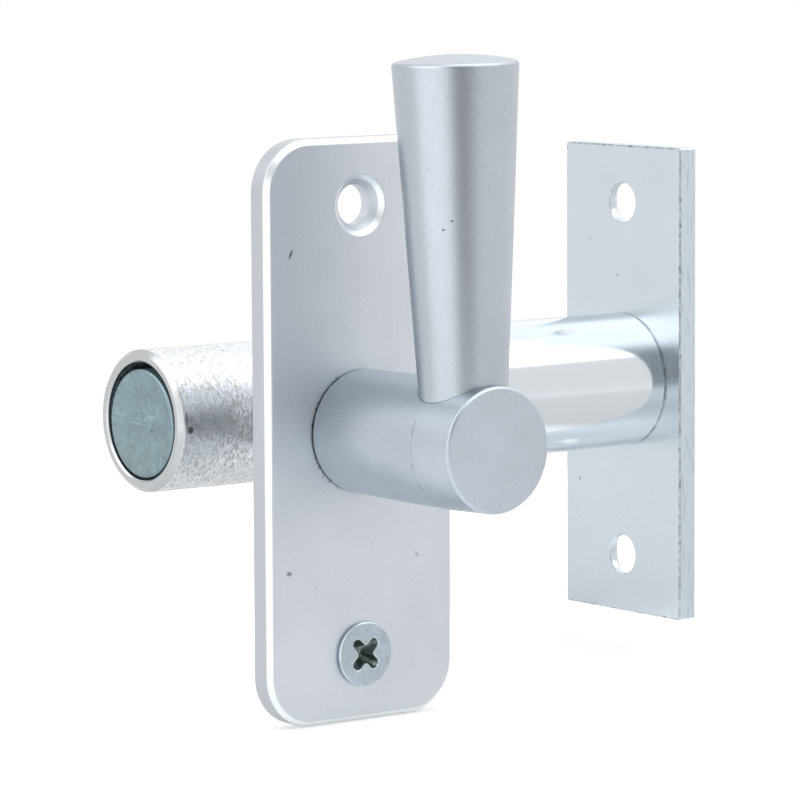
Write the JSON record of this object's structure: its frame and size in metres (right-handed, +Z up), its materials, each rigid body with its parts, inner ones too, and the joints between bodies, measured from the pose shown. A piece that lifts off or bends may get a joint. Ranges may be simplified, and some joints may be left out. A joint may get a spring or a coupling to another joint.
{
  "type": "mortise bolt",
  "caption": "Mortise bolt: a lever on a front plate turns a pinion that slides a round bolt in its tube, out through a rectangular forend plate.",
  "frame": {"origin": "middle of the forend plate's back face, on the tube's axis, where it seats on the door's edge", "axes": "+X along the bolt and out of the door's edge, -Y out of the door's face towards the lever, +Z up"},
  "size_m": [0.1134, 0.0912, 0.1148],
  "materials": {
    "satin_silver": "satin silver",
    "bright_zinc": "bright plated, finely turned",
    "forend_zinc": "bright plated sheet",
    "blue_zinc": "blue-grey zinc plate",
    "screw_zinc": "zinc plate",
    "dark_steel": "machined",
    "spring_steel": "blackened",
    "brass": "machined",
    "nylon": "natural"
  },
  "bodies": {
    "case": {"forend_plate": "forend_zinc", "mortise_tube": "bright_zinc", "spindle_bush": "dark_steel", "pinion_ring": "spring_steel", "rear_bush": "brass", "front_plate": "satin_silver", "plate_bush": "nylon", "disc_spring": "spring_steel", "thrust_washer": "spring_steel", "plate_screw": "screw_zinc"},
    "handle": {"hub": "satin_silver", "lever": "satin_silver", "lever_stud": "dark_steel", "spindle": "dark_steel", "pinion": "dark_steel", "retaining_ring": "spring_steel"},
    "bolt": {"bolt": "blue_zinc"}
  },
  "joints": [
    {"name": "lever_turn", "type": "hinge", "parent": "case", "child": "handle", "pos_m": [-0.088, 0, 0], "axis": [0, -1, 0], "range_deg": [0, 180]},
    {"name": "bolt_throw", "type": "slide", "parent": "case", "child": "bolt", "axis": [1, 0, 0], "range_m": [0, 0.01259]}
  ],
  "couplings": [
    {"joint": "bolt_throw", "follows": "lever_turn", "m_per_rad": 0.004}
  ]
}
